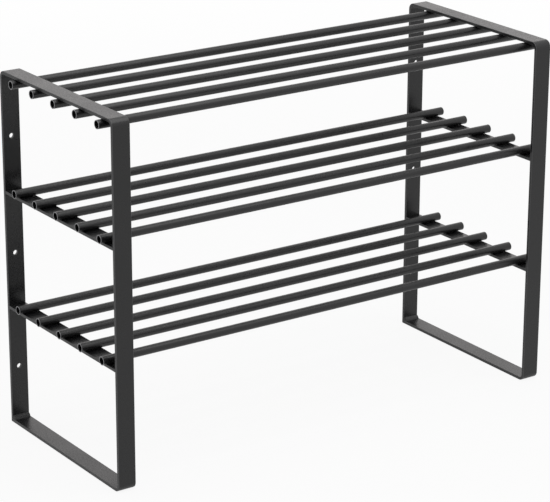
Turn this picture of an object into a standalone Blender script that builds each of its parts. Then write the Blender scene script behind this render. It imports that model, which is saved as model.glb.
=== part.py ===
"""A tiered shoe rack of black powder-coated steel, welded from flat bar and tube.

Two closed side frames are bent from flat bar, four flat crossbars are welded across them, and
fifteen open-ended tubes span the frames in three tiers of five.
Metres, +Z up, +X along the tubes, +Y towards the wall behind the rack, origin on the floor at the middle.
"""

import math

import bmesh
import bpy
from mathutils import Matrix, Vector

# Flat bar of the side frames
FRAME_HEIGHT = 0.510
FRAME_DEPTH = 0.292
BAR_WIDTH = 0.026
BAR_THICKNESS = 0.0045
INNER_BEND_RADIUS = 0.0055
WELDED_EDGE_RADIUS = 0.001
WELD_FILLET_RADIUS = 0.0065

# Flat crossbars that carry the two lower tiers
CROSSBAR_THICKNESS = 0.004

# Round tubes
TUBE_LENGTH = 0.730
TUBE_DIAMETER = 0.012
TUBE_WALL = 0.001
TUBE_OVERHANG = 0.007
TUBES_PER_TIER = 5
FRONT_TUBE_GAP = 0.016
BACK_TUBE_GAP = 0.032

# Clear heights: floor to the lower crossbars, and how much taller the lower shelf is than the middle one
FLOOR_CLEARANCE = 0.170
LOWER_SHELF_EXTRA = 0.010

# Screw holes through the back legs
HOLE_DIAMETER = 0.007
HOLES_PER_LEG = 3
LOWEST_HOLE_HEIGHT = 0.082
TOP_HOLE_DROP = 0.093

# Space left between welded pieces, which keeps each one a body of its own
WELD_GAP = 0.0003

# How finely the round shapes are drawn
BEND_STEPS = 8
TUBE_SIDES = 24
HOLE_SIDES = 20

# Heights that follow from the sizes above
TUBE_LIFT = CROSSBAR_THICKNESS + WELD_GAP
TOP_TUBE_BASE = FRAME_HEIGHT - BAR_THICKNESS - WELD_GAP - TUBE_DIAMETER
LOWER_TUBE_BASE = FLOOR_CLEARANCE + TUBE_LIFT
LOWER_SHELF_FLOOR = LOWER_TUBE_BASE + TUBE_DIAMETER
SHELF_SPACE = TOP_TUBE_BASE - LOWER_SHELF_FLOOR - TUBE_LIFT - TUBE_DIAMETER
MIDDLE_CROSSBAR_BASE = LOWER_SHELF_FLOOR + (SHELF_SPACE + LOWER_SHELF_EXTRA) / 2
MIDDLE_TUBE_BASE = MIDDLE_CROSSBAR_BASE + TUBE_LIFT

# Places that follow from the sizes above
FRAME_CENTRE_X = TUBE_LENGTH / 2 - TUBE_OVERHANG - BAR_WIDTH / 2
LEG_INNER_Y = FRAME_DEPTH / 2 - BAR_THICKNESS
FRONT_TUBE_Y = -LEG_INNER_Y + FRONT_TUBE_GAP + TUBE_DIAMETER / 2
BACK_TUBE_Y = LEG_INNER_Y - BACK_TUBE_GAP - TUBE_DIAMETER / 2
TUBE_PITCH = (BACK_TUBE_Y - FRONT_TUBE_Y) / (TUBES_PER_TIER - 1)

# Side frames sit left and right of the middle
SIDES = {"left": -1, "right": 1}

# Powder coat: a matte near-black, a shade greyer on the tubes that catch more light
FRAME_COLOUR = (0.030, 0.030, 0.031, 1.0)
CROSSBAR_COLOUR = (0.027, 0.027, 0.028, 1.0)
TUBE_COLOUR = (0.033, 0.033, 0.034, 1.0)


def powder_coat(name, colour):
    """Matte powder coat over steel: the coat is a plastic, so the surface isn't metallic."""
    material = bpy.data.materials.new(name)
    material.use_nodes = True
    shader = material.node_tree.nodes["Principled BSDF"]
    shader.inputs["Base Color"].default_value = colour
    shader.inputs["Roughness"].default_value = 0.55
    shader.inputs["Metallic"].default_value = 0.0
    return material


def mesh_from(bm, name, material=None):
    """Closes the bmesh into a mesh with its faces pointing out."""
    bmesh.ops.recalc_face_normals(bm, faces=bm.faces)
    mesh = bpy.data.meshes.new(name)
    bm.to_mesh(mesh)
    bm.free()
    if material:
        mesh.materials.append(material)
    return mesh


def place(name, mesh, location, parent):
    """Puts a mesh in the scene as a named piece of the rack."""
    piece = bpy.data.objects.new(name, mesh)
    bpy.context.scene.collection.objects.link(piece)
    piece.parent = parent
    piece.location = location
    return piece


def rounded_loop(bm, corners):
    """Adds a closed YZ loop with an arc at each corner, given as (y, z, radius, turn start in degrees)."""
    verts = []
    for y, z, radius, start in corners:
        for step in range(BEND_STEPS + 1):
            angle = math.radians(start + 90 * step / BEND_STEPS)
            verts.append(bm.verts.new((0, y + radius * math.cos(angle), z + radius * math.sin(angle))))
    return [bm.edges.new((verts[i - 1], verts[i])) for i in range(len(verts))]


def frame_corners(inset, bend_radius, weld_radius):
    """Arc centres of the frame's outline, drawn in by inset: three bends and the welded back foot corner."""
    low, high = inset, FRAME_HEIGHT - inset
    front, back = -FRAME_DEPTH / 2 + inset, FRAME_DEPTH / 2 - inset
    return [
        (back - bend_radius, high - bend_radius, bend_radius, 0),
        (front + bend_radius, high - bend_radius, bend_radius, 90),
        (front + bend_radius, low + bend_radius, bend_radius, 180),
        (back - weld_radius, low + weld_radius, weld_radius, 270),
    ]


def extrude_along_x(bm, length):
    """Gives the flat faces in the bmesh a thickness along X, evenly to both sides."""
    grown = bmesh.ops.extrude_face_region(bm, geom=bm.faces[:])
    moved = [item for item in grown["geom"] if isinstance(item, bmesh.types.BMVert)]
    bmesh.ops.translate(bm, verts=moved, vec=(length, 0, 0))
    bmesh.ops.translate(bm, verts=bm.verts, vec=(-length / 2, 0, 0))


def side_frame_mesh(name, material):
    """Flat bar bent into a closed upright loop, its two ends welded at the back foot."""
    bm = bmesh.new()
    outer_bend_radius = INNER_BEND_RADIUS + BAR_THICKNESS
    outer = rounded_loop(bm, frame_corners(0, outer_bend_radius, WELDED_EDGE_RADIUS))
    inner = rounded_loop(bm, frame_corners(BAR_THICKNESS, INNER_BEND_RADIUS, WELD_FILLET_RADIUS))
    bmesh.ops.bridge_loops(bm, edges=outer + inner)
    extrude_along_x(bm, BAR_WIDTH)
    return mesh_from(bm, name, material)


def screw_hole_cutter(name, parent, centre_x):
    """Three round pins through the back leg, evenly spaced, which cut its screw holes."""
    bm = bmesh.new()
    pitch = (FRAME_HEIGHT - TOP_HOLE_DROP - LOWEST_HOLE_HEIGHT) / (HOLES_PER_LEG - 1)
    leg_middle_y = FRAME_DEPTH / 2 - BAR_THICKNESS / 2
    for index in range(HOLES_PER_LEG):
        at = Vector((0, leg_middle_y, LOWEST_HOLE_HEIGHT + index * pitch))
        bmesh.ops.create_cone(
            bm,
            cap_ends=True,
            segments=HOLE_SIDES,
            radius1=HOLE_DIAMETER / 2,
            radius2=HOLE_DIAMETER / 2,
            depth=BAR_THICKNESS * 2,
            matrix=Matrix.Translation(at) @ Matrix.Rotation(math.pi / 2, 4, "X"),
        )
    cutter = place(name, mesh_from(bm, name), (centre_x, 0, 0), parent)
    cutter.hide_render = True
    cutter.display_type = "WIRE"
    return cutter


def crossbar_mesh(name, material):
    """Flat bar cut square to fit between a frame's front and back leg."""
    bm = bmesh.new()
    length = 2 * (LEG_INNER_Y - WELD_GAP)
    bmesh.ops.create_cube(bm, size=1, matrix=Matrix.Diagonal((BAR_WIDTH, length, CROSSBAR_THICKNESS, 1)))
    return mesh_from(bm, name, material)


def tube_mesh(name, material):
    """Thin-walled round tube along X, cut square and open at both ends."""
    bm = bmesh.new()
    on_end = Matrix.Rotation(math.pi / 2, 4, "Y")
    for radius in (TUBE_DIAMETER / 2, TUBE_DIAMETER / 2 - TUBE_WALL):
        bmesh.ops.create_circle(bm, segments=TUBE_SIDES, radius=radius, matrix=on_end)
    bmesh.ops.bridge_loops(bm, edges=bm.edges[:])
    extrude_along_x(bm, TUBE_LENGTH)
    mesh = mesh_from(bm, name, material)
    mesh.shade_smooth()
    mesh.set_sharp_from_angle(angle=math.radians(30))
    return mesh


for leftover in list(bpy.data.objects):
    bpy.data.objects.remove(leftover)

rack = bpy.data.objects.new("shoe_rack", None)
bpy.context.scene.collection.objects.link(rack)

frame_coat = powder_coat("powder_coat_frames", FRAME_COLOUR)
crossbar_coat = powder_coat("powder_coat_crossbars", CROSSBAR_COLOUR)
tube_coat = powder_coat("powder_coat_tubes", TUBE_COLOUR)

# Side frames, each with its screw holes, and the two crossbars welded across each
shelf_crossbar = crossbar_mesh("crossbar", crossbar_coat)
for side, sign in SIDES.items():
    centre_x = sign * FRAME_CENTRE_X
    frame_name = f"{side}_side_frame"
    frame = place(frame_name, side_frame_mesh(frame_name, frame_coat), (centre_x, 0, 0), rack)
    holes = frame.modifiers.new("screw_holes", "BOOLEAN")
    holes.operation = "DIFFERENCE"
    holes.solver = "EXACT"
    holes.object = screw_hole_cutter(f"{side}_screw_hole_cutter", rack, centre_x)
    for tier, base in (("lower", FLOOR_CLEARANCE), ("middle", MIDDLE_CROSSBAR_BASE)):
        at = (centre_x, 0, base + CROSSBAR_THICKNESS / 2)
        place(f"{tier}_{side}_crossbar", shelf_crossbar, at, rack)

# Tubes of the three tiers, numbered from the front: two tiers lie on crossbars, the top one hangs under
# the frames
tube = tube_mesh("tube", tube_coat)
for tier, base in (("lower", LOWER_TUBE_BASE), ("middle", MIDDLE_TUBE_BASE), ("top", TOP_TUBE_BASE)):
    for index in range(TUBES_PER_TIER):
        at = (0, FRONT_TUBE_Y + index * TUBE_PITCH, base + TUBE_DIAMETER / 2)
        place(f"{tier}_tube_{index + 1}", tube, at, rack)
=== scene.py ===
import math

import bmesh
import bpy
from mathutils import Matrix, Quaternion, Vector


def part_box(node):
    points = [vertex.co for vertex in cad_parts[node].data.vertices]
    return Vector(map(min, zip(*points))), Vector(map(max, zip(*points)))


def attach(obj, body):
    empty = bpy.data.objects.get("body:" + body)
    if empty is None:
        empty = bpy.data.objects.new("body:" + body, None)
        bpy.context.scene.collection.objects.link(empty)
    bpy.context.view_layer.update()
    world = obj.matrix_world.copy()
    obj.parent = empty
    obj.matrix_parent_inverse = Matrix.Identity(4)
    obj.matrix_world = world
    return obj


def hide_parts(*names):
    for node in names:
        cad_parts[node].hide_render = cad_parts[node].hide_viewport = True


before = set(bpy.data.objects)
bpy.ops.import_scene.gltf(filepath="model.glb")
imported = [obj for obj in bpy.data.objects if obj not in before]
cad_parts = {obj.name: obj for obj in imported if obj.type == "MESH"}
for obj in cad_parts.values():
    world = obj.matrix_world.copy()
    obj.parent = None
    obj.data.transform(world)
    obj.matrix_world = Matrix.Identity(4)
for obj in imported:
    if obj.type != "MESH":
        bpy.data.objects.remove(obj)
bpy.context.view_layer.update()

# Side frames: each is one length of 26 mm flat steel bar, cold bent round three corners into an upright
# loop and welded where its ends meet at the back foot. The back leg has three drilled screw holes, and the
# whole loop is powder coated, so its edges and hole rims are a little rounded.
MM = 0.001
SIDES = ("left", "right")
BAR_THICKNESS = 4.5 * MM
INNER_BEND_RADIUS = 5.5 * MM
OUTER_BEND_RADIUS = INNER_BEND_RADIUS + BAR_THICKNESS
BEND_SEGMENTS = 14
WELDED_EDGE_RADIUS = 1.0 * MM
WELD_FILLET_RADIUS = 2.0 * MM
BAR_EDGE_RADIUS = 0.5 * MM
EDGE_SEGMENTS = 3
SHARP_EDGE_ANGLE = math.radians(60)
HOLE_DIAMETER = 7.0 * MM
HOLES_PER_LEG = 3
LOWEST_HOLE_HEIGHT = 82 * MM
TOP_HOLE_DROP = 93 * MM
HOLE_SIDES = 40
HOLE_RIM_RADIUS = 0.3 * MM
HOLE_RIM_SEGMENTS = 2
DRILL_LENGTH = 2 * BAR_THICKNESS
COAT_COLOUR = "101011"
# The paler colour below is painted on rounded edges as a painted highlight.
COAT_EDGE_HIGHLIGHT_COLOUR = "454546"
COAT_ROUGHNESS = 0.34
COAT_IOR = 1.5
# The face attribute below says how much of the painted highlight colour a face takes.
PAINTED_HIGHLIGHT_ATTRIBUTE = "painted_highlight_share"


def linear(hex_colour):
    """Turns an sRGB hex value into the linear colour that shaders take."""
    channels = [int(hex_colour[i : i + 2], 16) / 255 for i in (0, 2, 4)]
    return [c / 12.92 if c <= 0.04045 else ((c + 0.055) / 1.055) ** 2.4 for c in channels] + [1.0]


def add_node(tree, kind, inputs, **settings):
    """Adds one shader node with its settings, its values and its links from other nodes' sockets."""
    made = tree.nodes.new(kind)
    for key, value in settings.items():
        setattr(made, key, value)
    for key, value in inputs.items():
        if isinstance(value, bpy.types.NodeSocket):
            tree.links.new(value, made.inputs[key])
        else:
            made.inputs[key].default_value = value
    return made


def powder_coat(name, hex_colour, highlight_hex_colour):
    """Baked polyester powder coat on steel, fine-textured and half matt: near black face on, and pale
    where it mirrors a bright room at a low angle. It has the faint ripple called orange peel, with matter
    crests and glossier hollows, a finer grain and patches that flowed out a little smoother. Its rounded
    edges are painted a paler colour, which is a painted highlight."""
    peel_size = 2.2 * MM  # real ripple is about 1 mm, drawn coarser so that it shows in the picture
    peel_depth = 0.05 * MM
    peel_gloss = 0.07
    grain_size = 0.9 * MM
    grain_depth = 0.01 * MM
    grain_strength = 0.25
    grain_tone = 0.18
    patch_size = 45 * MM
    patch_gloss = 0.03
    noise_span = {"From Min": 0.3, "From Max": 0.7}  # most values of a noise texture lie between these
    share, first, second, result = 0, 6, 7, 2  # the colour sockets of a Mix node

    material = bpy.data.materials.new(name)
    material.use_nodes = True
    tree = material.node_tree
    shader = tree.nodes["Principled BSDF"]
    place = add_node(tree, "ShaderNodeTexCoord", {}).outputs["Object"]
    edge = add_node(tree, "ShaderNodeAttribute", {}, attribute_name=PAINTED_HIGHLIGHT_ATTRIBUTE).outputs["Fac"]
    peel, grain, patch = [
        add_node(
            tree, "ShaderNodeTexNoise", {"Vector": place, "Scale": 1 / size, "Detail": detail}
        ).outputs["Fac"]
        for size, detail in ((peel_size, 1.0), (grain_size, 2.0), (patch_size, 3.0))
    ]

    # Mixes in the paler colour where a face carries the painted highlight.
    tone = add_node(
        tree,
        "ShaderNodeMix",
        {share: edge, first: linear(hex_colour), second: linear(highlight_hex_colour)},
        data_type="RGBA",
    )
    speck = add_node(
        tree,
        "ShaderNodeMapRange",
        {"Value": grain, **noise_span, "To Min": 1 - grain_tone, "To Max": 1 + grain_tone},
    )
    colour = add_node(
        tree,
        "ShaderNodeMix",
        {share: 1.0, first: tone.outputs[result], second: speck.outputs["Result"]},
        data_type="RGBA",
        blend_type="MULTIPLY",
    )
    tree.links.new(colour.outputs[result], shader.inputs["Base Color"])

    patchy = add_node(
        tree,
        "ShaderNodeMapRange",
        {
            "Value": patch,
            **noise_span,
            "To Min": COAT_ROUGHNESS + patch_gloss,
            "To Max": COAT_ROUGHNESS - patch_gloss,
        },
    )
    crest = add_node(
        tree,
        "ShaderNodeMapRange",
        {"Value": peel, **noise_span, "To Min": -peel_gloss, "To Max": peel_gloss},
    )
    mattness = add_node(
        tree, "ShaderNodeMath", {0: patchy.outputs["Result"], 1: crest.outputs["Result"]}, operation="ADD"
    )
    tree.links.new(mattness.outputs[0], shader.inputs["Roughness"])

    ripple = add_node(tree, "ShaderNodeBump", {"Strength": 1.0, "Distance": peel_depth, "Height": peel})
    texture = add_node(
        tree,
        "ShaderNodeBump",
        {
            "Strength": grain_strength,
            "Distance": grain_depth,
            "Height": grain,
            "Normal": ripple.outputs["Normal"],
        },
    )
    tree.links.new(texture.outputs["Normal"], shader.inputs["Normal"])
    shader.inputs["IOR"].default_value = COAT_IOR
    return material


def rounded_rectangle(bm, low, high, radii):
    """Adds an upright rectangle across Y and Z with a round at each corner, and returns its edge loop.
    The radii run from the low back corner to the low front, high front and high back ones."""
    places = [(high.y, low.z), (low.y, low.z), (low.y, high.z), (high.y, high.z)]
    corners = [bm.verts.new((0, y, z)) for y, z in places]
    bm.faces.new(corners)
    for corner, radius in zip(corners, radii):
        bmesh.ops.bevel(
            bm,
            geom=[corner],
            offset=radius,
            segments=BEND_SEGMENTS,
            profile=0.5,
            affect="VERTICES",
            material=-1,
        )
    (face,) = bm.faces
    edges = list(face.edges)
    bm.faces.remove(face)
    return edges


def extrude_along_x(bm, faces, low_x, high_x):
    """Gives flat upright faces a thickness that runs from low_x to high_x."""
    grown = bmesh.ops.extrude_face_region(bm, geom=faces)
    moved = [item for item in grown["geom"] if isinstance(item, bmesh.types.BMVert)]
    bmesh.ops.translate(bm, verts=moved, vec=(high_x - low_x, 0, 0))
    bmesh.ops.translate(bm, verts=bm.verts, vec=(low_x, 0, 0))
    bmesh.ops.recalc_face_normals(bm, faces=bm.faces)


def round_edges(bm, radius, segments, highlight_share):
    """Rounds every sharp edge and gives the new faces a share of the painted highlight colour, from 0 to 1.
    """
    highlight_layer = bm.faces.layers.float.get(PAINTED_HIGHLIGHT_ATTRIBUTE) or bm.faces.layers.float.new(PAINTED_HIGHLIGHT_ATTRIBUTE)
    sharp = [e for e in bm.edges if len(e.link_faces) == 2 and e.calc_face_angle() > SHARP_EDGE_ANGLE]
    rounds = bmesh.ops.bevel(
        bm, geom=sharp, offset=radius, segments=segments, profile=0.5, affect="EDGES", material=-1
    )
    for face in rounds["faces"]:
        face[highlight_layer] = highlight_share


def drill(bm, centres):
    """Cuts the screw holes along Y through a bmesh and returns the drilled one."""
    drills = bmesh.new()
    for centre in centres:
        bmesh.ops.create_cone(
            drills,
            cap_ends=True,
            segments=HOLE_SIDES,
            radius1=HOLE_DIAMETER / 2,
            radius2=HOLE_DIAMETER / 2,
            depth=DRILL_LENGTH,
            matrix=Matrix.Translation(centre) @ Matrix.Rotation(math.pi / 2, 4, "X"),
        )
    helpers = []
    for shape in (bm, drills):
        mesh = bpy.data.meshes.new("drilling")
        shape.to_mesh(mesh)
        shape.free()
        helpers.append(bpy.data.objects.new("drilling", mesh))
        bpy.context.scene.collection.objects.link(helpers[-1])
    bar, drill_set = helpers
    cut = bar.modifiers.new("holes", "BOOLEAN")
    cut.object = drill_set
    cut.operation = "DIFFERENCE"
    cut.solver = "EXACT"
    drilled = bmesh.new()
    drilled.from_object(bar, bpy.context.evaluated_depsgraph_get())
    for helper in helpers:
        bpy.data.objects.remove(helper)
    return drilled


def finish_piece(bm, name, material, *nodes):
    """Makes the bmesh a smooth-shaded piece of the rack that stands for the named CAD nodes."""
    mesh = bpy.data.meshes.new(name)
    bm.to_mesh(mesh)
    bm.free()
    mesh.materials.append(material)
    mesh.shade_smooth()
    piece = bpy.data.objects.new(name, mesh)
    bpy.context.scene.collection.objects.link(piece)
    flat_faces = piece.modifiers.new("flat_faces_stay_flat", "WEIGHTED_NORMAL")
    flat_faces.mode = "FACE_AREA"
    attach(piece, "root")
    if nodes:
        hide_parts(*nodes)


frame_coat = powder_coat("powder_coated_steel_bar", COAT_COLOUR, COAT_EDGE_HIGHLIGHT_COLOUR)
for side in SIDES:
    low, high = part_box(f"{side}_side_frame")
    inset = Vector((0, BAR_THICKNESS, BAR_THICKNESS))
    bm = bmesh.new()
    outside = rounded_rectangle(bm, low, high, [WELDED_EDGE_RADIUS] + [OUTER_BEND_RADIUS] * 3)
    inside = rounded_rectangle(bm, low + inset, high - inset, [WELD_FILLET_RADIUS] + [INNER_BEND_RADIUS] * 3)
    ring = bmesh.ops.bridge_loops(bm, edges=outside + inside)
    extrude_along_x(bm, ring["faces"], low.x, high.x)
    # The rounded edges of the bar take the painted highlight colour in full.
    round_edges(bm, BAR_EDGE_RADIUS, EDGE_SEGMENTS, highlight_share=1.0)
    hole_pitch = (high.z - TOP_HOLE_DROP - LOWEST_HOLE_HEIGHT) / (HOLES_PER_LEG - 1)
    holes = [
        Vector(((low.x + high.x) / 2, high.y - BAR_THICKNESS / 2, LOWEST_HOLE_HEIGHT + index * hole_pitch))
        for index in range(HOLES_PER_LEG)
    ]
    bm = drill(bm, holes)
    # The rounded hole rims take none of the painted highlight colour.
    round_edges(bm, HOLE_RIM_RADIUS, HOLE_RIM_SEGMENTS, highlight_share=0.0)
    finish_piece(bm, f"{side}_bent_bar_frame", frame_coat, f"{side}_side_frame")

# Foot welds: a bead of weld across the inside of each frame's back foot joins the two ends of its bar.
# The coat lies over the ripples that the welder left.
RIPPLE_PITCH = 1.7 * MM
RIPPLE_DEPTH = 0.07
RIPPLE_BOW = 0.8 * MM
CUTS_PER_RIPPLE = 5
BEAD_SIDES = 24
BEAD_END_LENGTH = 2.0 * MM
BEAD_END_SIZE = 0.35
FOOT_BEAD_RISE = 2.6 * MM
FOOT_BEAD_SPREAD = 5.4 * MM
FOOT_BEAD_END_GAP = 0.4 * MM


def weld_bead(bm, low_x, high_x, corner, rise, spread, outward):
    """Adds a bead of weld along X in a corner between two faces, which stands out from the corner by
    twice its rise in the outward direction: a flattened bar with bowed ripples and tapered ends."""
    length = high_x - low_x
    earlier = len(bm.verts)
    bar = bmesh.ops.create_cone(
        bm,
        cap_ends=True,
        segments=BEAD_SIDES,
        radius1=1,
        radius2=1,
        depth=length,
        matrix=Matrix.Rotation(math.pi / 2, 4, "Y"),
    )
    lengthwise = {
        edge
        for vert in bar["verts"]
        for edge in vert.link_edges
        if abs(edge.verts[0].co.x - edge.verts[1].co.x) > length / 2
    }
    cuts = CUTS_PER_RIPPLE * int(length / RIPPLE_PITCH)
    bmesh.ops.subdivide_edges(bm, edges=list(lengthwise), cuts=cuts)
    made = list(bm.verts)[earlier:]
    for vert in made:
        to_end = min(1, (length / 2 - abs(vert.co.x)) / BEAD_END_LENGTH)
        taper = BEAD_END_SIZE + (1 - BEAD_END_SIZE) * math.sqrt(max(0, 1 - (1 - to_end) ** 2))
        ripple_place = (vert.co.x + RIPPLE_BOW * vert.co.z**2) / RIPPLE_PITCH
        ripple = 1 - RIPPLE_DEPTH * (0.5 + 0.5 * math.cos(2 * math.pi * ripple_place))
        vert.co.yz = vert.co.yz * taper * ripple
    flatten = Matrix.Diagonal((1, rise, spread, 1))
    turn = Matrix.Rotation(math.atan2(outward.z, outward.y), 4, "X")
    place = Matrix.Translation(Vector(((low_x + high_x) / 2, *corner)) + outward.normalized() * rise)
    bmesh.ops.transform(bm, matrix=place @ turn @ flatten, verts=made)


for side in SIDES:
    low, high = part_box(f"{side}_side_frame")
    bm = bmesh.new()
    weld_bead(
        bm,
        low.x + FOOT_BEAD_END_GAP,
        high.x - FOOT_BEAD_END_GAP,
        (high.y - BAR_THICKNESS, low.z + BAR_THICKNESS),
        FOOT_BEAD_RISE,
        FOOT_BEAD_SPREAD,
        Vector((0, -1, 1)),
    )
    finish_piece(bm, f"{side}_foot_weld", frame_coat)

# Crossbars: short lengths of flat bar sawn square and welded between a frame's front and back leg, level,
# to carry the two lower tiers. They are coated together with the frames.
CROSSBAR_TIERS = ("lower", "middle")
CROSSBAR_EDGE_RADIUS = 0.4 * MM
for tier in CROSSBAR_TIERS:
    for side in SIDES:
        low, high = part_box(f"{tier}_{side}_crossbar")
        bm = bmesh.new()
        bmesh.ops.create_cube(
            bm, size=1, matrix=Matrix.LocRotScale((low + high) / 2, Quaternion(), high - low)
        )
        # The crossbars' rounded edges take the painted highlight colour in full.
        round_edges(bm, CROSSBAR_EDGE_RADIUS, EDGE_SEGMENTS, highlight_share=1.0)
        finish_piece(bm, f"{tier}_{side}_shelf_crossbar", frame_coat, f"{tier}_{side}_crossbar")

# Crossbar welds: a bead of weld along the underside of each end of a crossbar holds it to the leg. It is
# made from below, so the upper faces stay clean.
CROSSBAR_BEAD_RISE = 1.4 * MM
CROSSBAR_BEAD_SPREAD = 2.9 * MM
CROSSBAR_BEAD_END_GAP = 2.0 * MM
for tier in CROSSBAR_TIERS:
    for side in SIDES:
        low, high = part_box(f"{tier}_{side}_crossbar")
        bm = bmesh.new()
        for y, inward in ((low.y, 1), (high.y, -1)):
            weld_bead(
                bm,
                low.x + CROSSBAR_BEAD_END_GAP,
                high.x - CROSSBAR_BEAD_END_GAP,
                (y, low.z),
                CROSSBAR_BEAD_RISE,
                CROSSBAR_BEAD_SPREAD,
                Vector((0, inward, -1)),
            )
        finish_piece(bm, f"{tier}_{side}_crossbar_welds", frame_coat)

# Tubes: thin-walled round steel tube, cut square, deburred and left open at both ends. Five make each
# tier: they lie on the crossbars of the two lower tiers, and hang under the top bars of the frames.
TIERS = ("lower", "middle", "top")
TUBES_PER_TIER = 5
TUBE_WALL = 1.0 * MM
TUBE_SIDES = 64
TUBE_RIM_RADIUS = 0.25 * MM
TUBE_RIM_SEGMENTS = 2
TUBE_COAT_COLOUR = "111112"
# A pale colour painted on the tube ends and their rims, a painted highlight.
TUBE_END_HIGHLIGHT_COLOUR = "98989a"
END_FACE_SLOPE = 0.9  # a face whose normal runs along the tube by at least this much is an end face
tube_coat = powder_coat("powder_coated_steel_tube", TUBE_COAT_COLOUR, TUBE_END_HIGHLIGHT_COLOUR)
for tier in TIERS:
    for number in range(1, TUBES_PER_TIER + 1):
        low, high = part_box(f"{tier}_tube_{number}")
        centre = (low + high) / 2
        radius = (high.z - low.z) / 2
        bm = bmesh.new()
        across = Matrix.Translation((0, centre.y, centre.z)) @ Matrix.Rotation(math.pi / 2, 4, "Y")
        for ring_radius in (radius, radius - TUBE_WALL):
            bmesh.ops.create_circle(bm, segments=TUBE_SIDES, radius=ring_radius, matrix=across)
        ring = bmesh.ops.bridge_loops(bm, edges=bm.edges[:])
        extrude_along_x(bm, ring["faces"], low.x, high.x)
        # The rounded rims and the flat end faces of each tube are painted the pale end colour in full, a
        # painted highlight.
        round_edges(bm, TUBE_RIM_RADIUS, TUBE_RIM_SEGMENTS, highlight_share=1.0)
        highlight_layer = bm.faces.layers.float[PAINTED_HIGHLIGHT_ATTRIBUTE]
        for face in bm.faces:
            if abs(face.normal.x) > END_FACE_SLOPE:
                face[highlight_layer] = 1.0
        finish_piece(bm, f"{tier}_shelf_tube_{number}", tube_coat, f"{tier}_tube_{number}")

# Tube welds: resistance welds, where the tube and the flat bar that it lies on or hangs under were clamped
# together and fused along the line where they touch. Each is a low seam in the gap between the two.
TUBE_WELD_RISE = 0.35 * MM
TUBE_WELD_SPREAD = 2.2 * MM
TUBE_WELD_END_GAP = 4.0 * MM
for tier in TIERS:
    for side in SIDES:
        carrier = f"{side}_side_frame" if tier == "top" else f"{tier}_{side}_crossbar"
        low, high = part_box(carrier)
        bar_z, towards_tube = (high.z - BAR_THICKNESS, -1) if tier == "top" else (high.z, 1)
        bm = bmesh.new()
        for number in range(1, TUBES_PER_TIER + 1):
            tube_low, tube_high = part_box(f"{tier}_tube_{number}")
            weld_bead(
                bm,
                low.x + TUBE_WELD_END_GAP,
                high.x - TUBE_WELD_END_GAP,
                ((tube_low.y + tube_high.y) / 2, bar_z),
                TUBE_WELD_RISE,
                TUBE_WELD_SPREAD,
                Vector((0, 0, towards_tube)),
            )
        finish_piece(bm, f"{tier}_{side}_tube_welds", tube_coat)

# Floor: a plain white studio sweep that the rack stands on. The camera and the coat's reflections see it
# nearly white, and it still takes the rack's soft shadow. Away from the rack it fades to the white of the
# room behind it, as the paper does where it curves up.
FLOOR_SIZE = 30.0
FLOOR_COLOUR = "f4f4f4"
FLOOR_DROP = 0.2 * MM
FLOOR_GLOW_SEEN = 0.9
FLOOR_GLOW_MIRRORED = 0.55
FLOOR_FADE_START = 0.9
FLOOR_FADE_END = 3.0


def background_rays(tree, seen, mirrored):
    """Gives one value to rays from the camera, another to rays from glossy or clear surfaces, and zero to
    the rays that carry light."""
    path = add_node(tree, "ShaderNodeLightPath", {})
    shiny = add_node(
        tree,
        "ShaderNodeMath",
        {0: path.outputs["Is Glossy Ray"], 1: path.outputs["Is Transmission Ray"]},
        operation="MAXIMUM",
    )
    reflected = add_node(tree, "ShaderNodeMath", {0: shiny.outputs[0], 1: mirrored}, operation="MULTIPLY")
    return add_node(
        tree,
        "ShaderNodeMath",
        {0: path.outputs["Is Camera Ray"], 1: seen, 2: reflected.outputs[0]},
        operation="MULTIPLY_ADD",
    ).outputs[0]


bm = bmesh.new()
bmesh.ops.create_grid(
    bm, x_segments=1, y_segments=1, size=FLOOR_SIZE / 2, matrix=Matrix.Translation((0, 0, -FLOOR_DROP))
)
floor_mesh = bpy.data.meshes.new("studio_floor")
bm.to_mesh(floor_mesh)
bm.free()
floor = bpy.data.objects.new("studio_floor", floor_mesh)
bpy.context.scene.collection.objects.link(floor)
paper = bpy.data.materials.new("white_studio_paper")
paper.use_nodes = True
tree = paper.node_tree
tree.nodes.remove(tree.nodes["Principled BSDF"])
spot = add_node(tree, "ShaderNodeTexCoord", {}).outputs["Object"]
away = add_node(tree, "ShaderNodeVectorMath", {0: spot}, operation="LENGTH").outputs["Value"]
seen = add_node(
    tree,
    "ShaderNodeMapRange",
    {
        "Value": away,
        "From Min": FLOOR_FADE_START,
        "From Max": FLOOR_FADE_END,
        "To Min": FLOOR_GLOW_SEEN,
        "To Max": 1.0,
    },
    interpolation_type="SMOOTHSTEP",
).outputs["Result"]
glow_share = background_rays(tree, seen, FLOOR_GLOW_MIRRORED)
matt = add_node(tree, "ShaderNodeBsdfDiffuse", {"Color": linear(FLOOR_COLOUR)})
glow = add_node(tree, "ShaderNodeEmission", {"Strength": 1.0})
mixed = add_node(tree, "ShaderNodeMixShader", {0: glow_share, 1: matt.outputs[0], 2: glow.outputs[0]})
tree.links.new(mixed.outputs[0], tree.nodes["Material Output"].inputs["Surface"])
floor_mesh.materials.append(paper)

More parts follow.
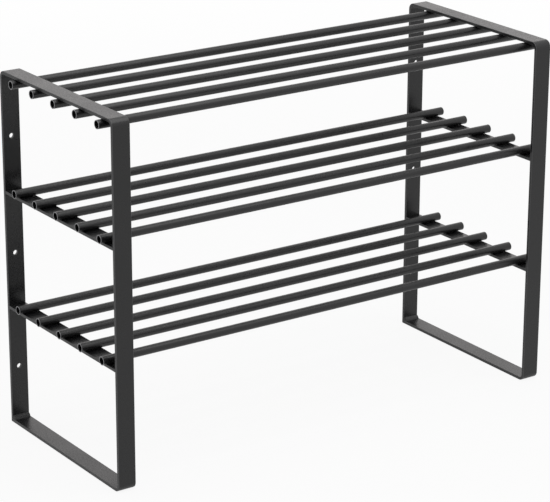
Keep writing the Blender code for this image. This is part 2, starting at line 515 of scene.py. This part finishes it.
# Light: an evenly white room with a wide soft box overhead, a little in front of the rack, and a long low
# one behind it, which lights the coat at a low angle. A box's brightness is its surface's own, where the
# white of the room is 1.
ROOM_LIGHT = 0.5
LIGHT_AIM = Vector((0, 0, 0.25))
SOFT_BOXES = {
    "overhead_soft_box": {
        "place": Vector((0.1, -0.6, 2.6)),
        "width": 2.4,
        "height": 2.4,
        "brightness": 1.6,
        "colour": "ffffff",
    },
    "back_soft_box": {
        "place": Vector((1.9, 2.3, 1.1)),
        "width": 3.2,
        "height": 1.4,
        "brightness": 0.36,
        "colour": "fff2f0",
    },
}
room = bpy.data.worlds.new("white_room")
room.use_nodes = True
bpy.context.scene.world = room
tree = room.node_tree
level = add_node(
    tree,
    "ShaderNodeMapRange",
    {"Value": background_rays(tree, 1.0, 1.0), "To Min": ROOM_LIGHT, "To Max": 1.0},
)
tree.links.new(level.outputs["Result"], tree.nodes["Background"].inputs["Strength"])
tree.nodes["Background"].inputs["Color"].default_value = (1, 1, 1, 1)
for name, box in SOFT_BOXES.items():
    lamp = bpy.data.lights.new(name, "AREA")
    lamp.shape = "RECTANGLE"
    lamp.size = box["width"]
    lamp.size_y = box["height"]
    lamp.color = linear(box["colour"])[:3]
    lamp.energy = box["brightness"] * math.pi * box["width"] * box["height"]
    stand = bpy.data.objects.new(name, lamp)
    stand.location = box["place"]
    stand.rotation_mode = "QUATERNION"
    stand.rotation_quaternion = (LIGHT_AIM - box["place"]).to_track_quat("-Z", "Y")
    bpy.context.scene.collection.objects.link(stand)

# Camera: a long lens in front of the rack, to its left and above it. Its place was fitted to where the
# photograph shows the bars and tubes, with no shift.
CAMERA_AZIMUTH = math.radians(-34.627)
CAMERA_ELEVATION = math.radians(19.308)
CAMERA_ROLL = math.radians(0.211)
CAMERA_DISTANCE = 3.3596
CAMERA_TARGET = Vector((-0.0549, -0.0654, 0.255))
CAMERA_REACH = 100.0
SENSOR_WIDTH = 36.0
PICTURE_WIDTH = 550
FOCAL_PIXELS = 2450.0
camera_data = bpy.data.cameras.new("camera")
camera_data.sensor_width = SENSOR_WIDTH
camera_data.lens = FOCAL_PIXELS * SENSOR_WIDTH / PICTURE_WIDTH
camera_data.clip_end = CAMERA_REACH
camera = bpy.data.objects.new("camera", camera_data)
towards_camera = Vector(
    (
        math.sin(CAMERA_AZIMUTH) * math.cos(CAMERA_ELEVATION),
        -math.cos(CAMERA_AZIMUTH) * math.cos(CAMERA_ELEVATION),
        math.sin(CAMERA_ELEVATION),
    )
)
camera.location = CAMERA_TARGET + towards_camera * CAMERA_DISTANCE
camera.rotation_mode = "QUATERNION"
roll = Quaternion((0, 0, 1), CAMERA_ROLL)
camera.rotation_quaternion = (-towards_camera).to_track_quat("-Z", "Y") @ roll
bpy.context.scene.collection.objects.link(camera)
bpy.context.scene.camera = camera
bpy.context.scene.view_settings.view_transform = "Standard"
